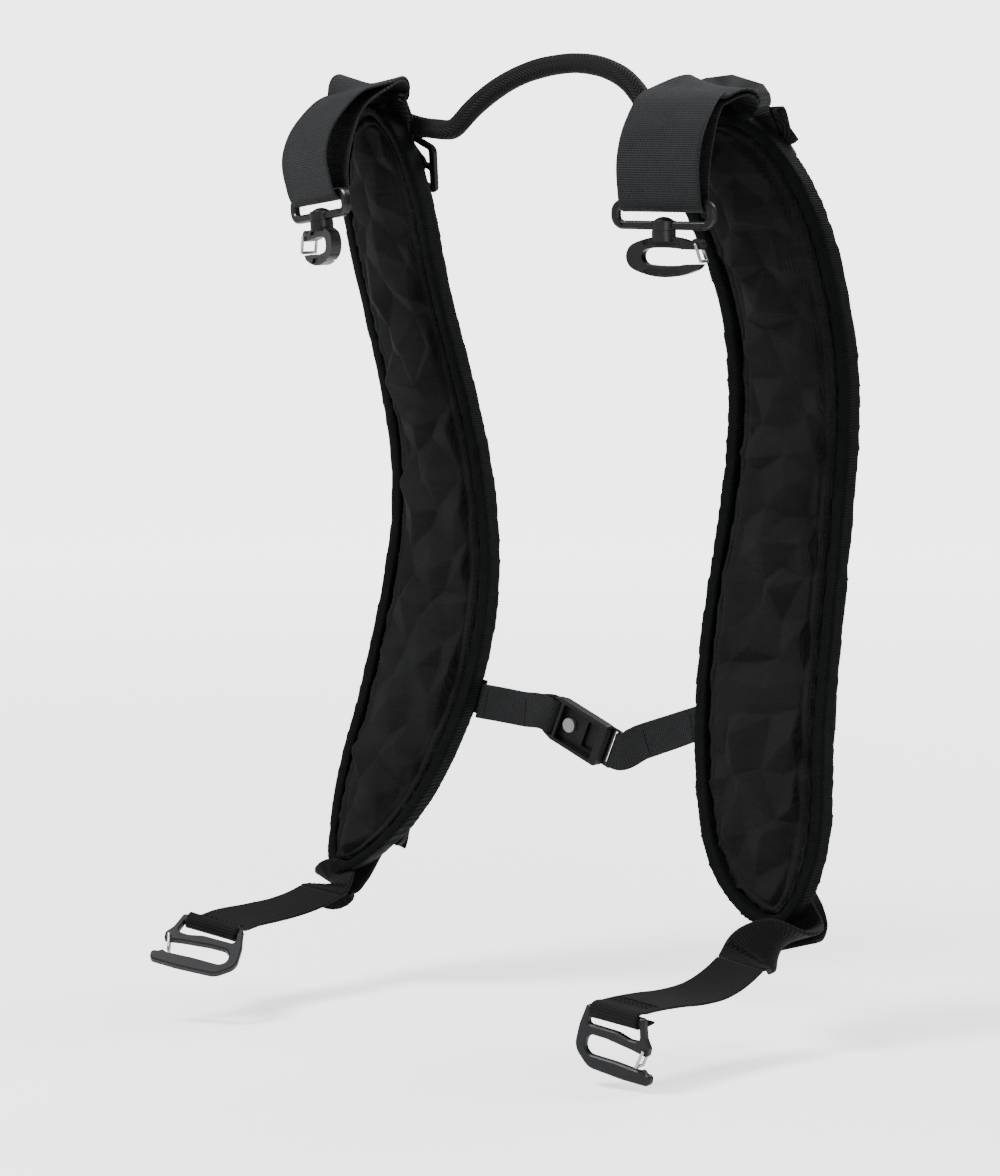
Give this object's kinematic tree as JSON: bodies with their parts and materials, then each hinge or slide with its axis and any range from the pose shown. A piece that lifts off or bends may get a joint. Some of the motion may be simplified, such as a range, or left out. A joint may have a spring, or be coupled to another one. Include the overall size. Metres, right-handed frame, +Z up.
{
  "type": "padded shoulder strap harness",
  "caption": "Detachable padded shoulder harness: curved foam pads joined by a grab handle and sternum strap, with swivel snap hooks above and flat G-hooks below.",
  "frame": {"origin": "centre of the grab handle grip", "axes": "+X to the right-hand pad (right in a view from the wearer side), +Y forwards away from the wearer, +Z up"},
  "size_m": [0.347, 0.2223, 0.5273],
  "materials": {
    "knit": "stretch knit over moulded foam, matt",
    "panel": "plain woven lining, matt",
    "foam": "closed-cell foam, matt",
    "binding": "twill binding tape, matt",
    "webbing": "cross-ribbed polyester webbing, slight sheen",
    "moulding": "moulded acetal, fine grain",
    "cast_black": "black-coated casting, semi-gloss",
    "g_plate": "grey anodised plate, fine grain",
    "wire": "stainless wire",
    "magnet": "nickel-plated disc",
    "rope": "filler cord"
  },
  "bodies": {
    "harness": {"back_panel_right": "panel", "foam_core_right": "foam", "face_panel_right": "knit", "edge_binding_right": "binding", "top_strap_right": "webbing", "top_slider_right": "moulding", "anchor_tab_right": "webbing", "adjuster_web_right": "webbing", "chest_anchor_right": "webbing", "handle_tab_right": "webbing", "back_panel_left": "panel", "foam_core_left": "foam", "face_panel_left": "knit", "edge_binding_left": "binding", "top_strap_left": "webbing", "top_slider_left": "moulding", "anchor_tab_left": "webbing", "adjuster_web_left": "webbing", "chest_anchor_left": "webbing", "handle_tab_left": "webbing", "handle_sleeve": "webbing", "handle_core": "rope"},
    "ring_right": {"ring_right": "cast_black"},
    "snap_hook_right": {"snap_hook_right": "cast_black", "swivel_pin_right": "cast_black"},
    "snap_gate_right": {"snap_gate_right": "wire"},
    "lower_strap_right": {"lower_strap_right": "webbing"},
    "g_hook_right": {"g_hook_right": "g_plate"},
    "g_gate_right": {"g_gate_right": "wire"},
    "ladder_lock_right": {"ladder_lock_right": "moulding", "web_tail_right": "webbing"},
    "ring_left": {"ring_left": "cast_black"},
    "snap_hook_left": {"snap_hook_left": "cast_black", "swivel_pin_left": "cast_black"},
    "snap_gate_left": {"snap_gate_left": "wire"},
    "lower_strap_left": {"lower_strap_left": "webbing"},
    "g_hook_left": {"g_hook_left": "g_plate"},
    "g_gate_left": {"g_gate_left": "wire"},
    "ladder_lock_left": {"ladder_lock_left": "moulding", "web_tail_left": "webbing"},
    "sternum_left": {"sternum_strap_left": "webbing", "buckle_tray": "moulding", "tray_magnet": "magnet"},
    "sternum_right": {"sternum_strap_right": "webbing", "buckle_tongue": "moulding", "tongue_magnet": "magnet"}
  },
  "joints": [
    {"name": "ring_tilt_right", "type": "hinge", "parent": "harness", "child": "ring_right", "pos_m": [0.1175, -0.064, -0.072], "axis": [0.9781, 0.2079, 0], "range_deg": [-35, 25]},
    {"name": "hook_swivel_right", "type": "hinge", "parent": "ring_right", "child": "snap_hook_right", "pos_m": [0.1175, -0.064, -0.0834], "axis": [0, 0, 1], "continuous": true},
    {"name": "snap_gate_right", "type": "hinge", "parent": "snap_hook_right", "child": "snap_gate_right", "pos_m": [0.13697, -0.05986, -0.09315], "axis": [-0.2079, 0.9781, 0], "range_deg": [0, 30]},
    {"name": "strap_swing_right", "type": "hinge", "parent": "harness", "child": "lower_strap_right", "pos_m": [0.15398, -0.0431, -0.47449], "axis": [0.9873, 0.049, -0.1511], "range_deg": [-20, 20]},
    {"name": "g_hook_tilt_right", "type": "hinge", "parent": "lower_strap_right", "child": "g_hook_right", "pos_m": [0.152, -0.15, -0.486], "axis": [0.9912, 0.0519, -0.1219], "range_deg": [-40, 35]},
    {"name": "g_gate_right", "type": "hinge", "parent": "g_hook_right", "child": "g_gate_right", "pos_m": [0.16982, -0.14856, -0.50289], "axis": [-0.0481, 0.9982, 0.0346], "range_deg": [0, 25]},
    {"name": "ladder_tilt_right", "type": "hinge", "parent": "harness", "child": "ladder_lock_right", "pos_m": [0.13389, 0.02218, -0.41977], "axis": [0.9373, 0.2225, 0.2684], "range_deg": [0, 25]},
    {"name": "ring_tilt_left", "type": "hinge", "parent": "harness", "child": "ring_left", "pos_m": [-0.1175, -0.064, -0.072], "axis": [0.9385, -0.3231, 0.1219], "range_deg": [-35, 25]},
    {"name": "hook_swivel_left", "type": "hinge", "parent": "ring_left", "child": "snap_hook_left", "pos_m": [-0.11619, -0.06445, -0.08332], "axis": [-0.1152, 0.0397, 0.9925], "continuous": true},
    {"name": "snap_gate_left", "type": "hinge", "parent": "snap_hook_left", "child": "snap_gate_left", "pos_m": [-0.13233, -0.05524, -0.09538], "axis": [-0.4836, -0.875, -0.0212], "range_deg": [0, 30]},
    {"name": "strap_swing_left", "type": "hinge", "parent": "harness", "child": "lower_strap_left", "pos_m": [-0.14792, -0.02917, -0.46823], "axis": [0.9894, 0.0898, -0.1142], "range_deg": [-20, 20]},
    {"name": "g_hook_tilt_left", "type": "hinge", "parent": "lower_strap_left", "child": "g_hook_left", "pos_m": [-0.141, -0.1305, -0.474], "axis": [0.9034, 0.365, -0.2249], "range_deg": [-35, 60]},
    {"name": "g_gate_left", "type": "hinge", "parent": "g_hook_left", "child": "g_gate_left", "pos_m": [-0.15676, -0.14875, -0.47888], "axis": [0.4032, -0.5447, 0.7354], "range_deg": [0, 25]},
    {"name": "ladder_tilt_left", "type": "hinge", "parent": "harness", "child": "ladder_lock_left", "pos_m": [-0.13389, 0.02218, -0.41977], "axis": [0.9373, -0.2225, -0.2684], "range_deg": [0, 25]},
    {"name": "sternum_swing_right", "type": "hinge", "parent": "harness", "child": "sternum_right", "pos_m": [0.07671, 0.02636, -0.35892], "axis": [0, 0, -1], "range_deg": [0, 45]},
    {"name": "sternum_swing_left", "type": "hinge", "parent": "harness", "child": "sternum_left", "pos_m": [-0.07671, 0.02636, -0.35892], "axis": [0, 0, -1], "range_deg": [0, 45]}
  ]
}
